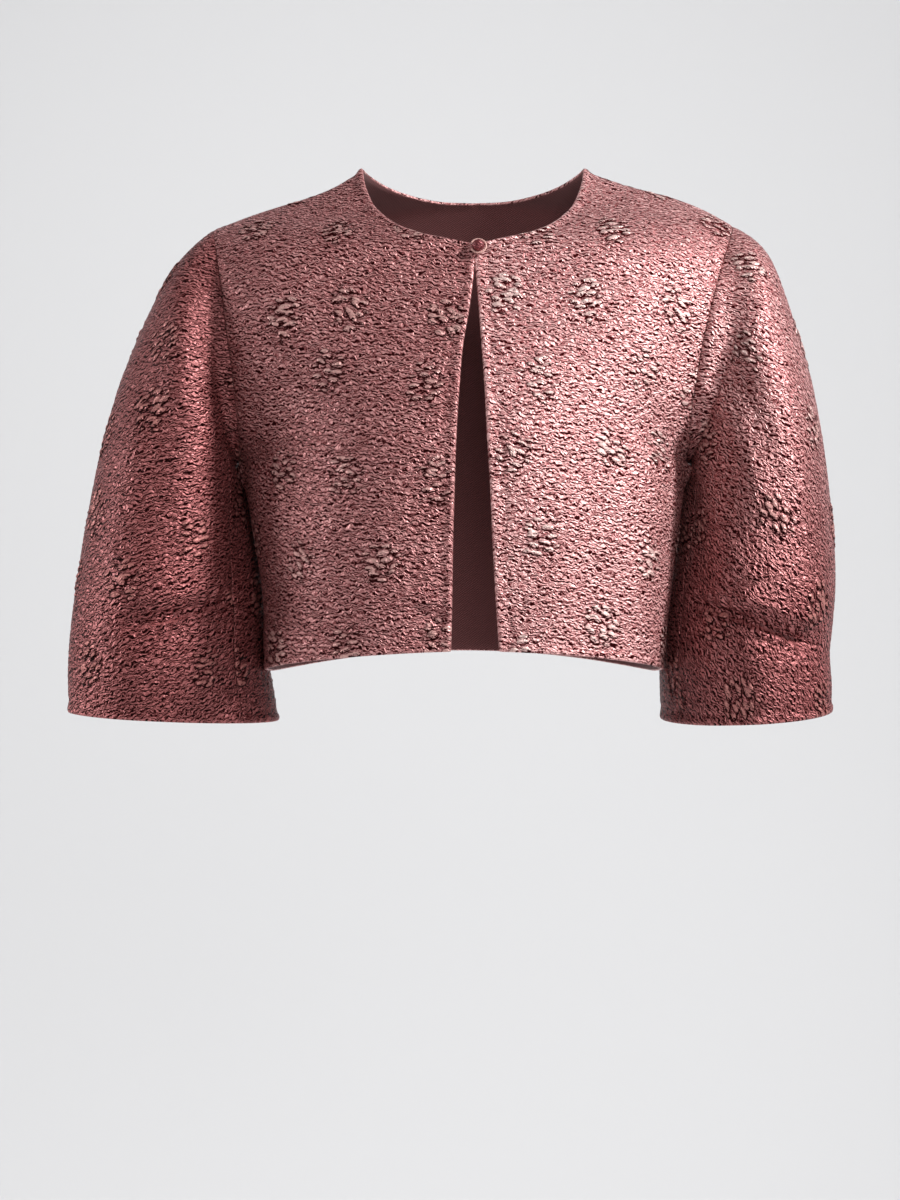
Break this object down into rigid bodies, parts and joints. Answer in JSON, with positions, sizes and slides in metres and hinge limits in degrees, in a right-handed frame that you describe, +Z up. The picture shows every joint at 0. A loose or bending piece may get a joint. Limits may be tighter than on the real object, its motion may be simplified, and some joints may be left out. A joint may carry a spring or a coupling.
{
  "type": "bolero jacket",
  "caption": "Collarless cropped jacket in crinkled metallic rose cloth, hollow as worn, with rounded elbow sleeves, open fronts and a ball button at the neck",
  "frame": {"origin": "Midway between the middles of the two shoulder seams' lines at the neck and arm, where the wearer's shoulders carry the garment", "axes": "+X to the wearer's left, across the garment; +Y to the wearer's back; +Z up"},
  "size_m": [0.57, 0.2276, 0.4154],
  "materials": {
    "cloth": "crinkled blister weave with a metallic sheen",
    "button": "the same cloth drawn over a ball",
    "cord": "thin round cord"
  },
  "bodies": {
    "root": {"front_right": "cloth", "front_left": "cloth", "back": "cloth", "sleeve_top_right": "cloth", "sleeve_under_right": "cloth", "sleeve_top_left": "cloth", "sleeve_under_left": "cloth", "button": "button", "button_loop": "cord"}
  },
  "joints": []
}
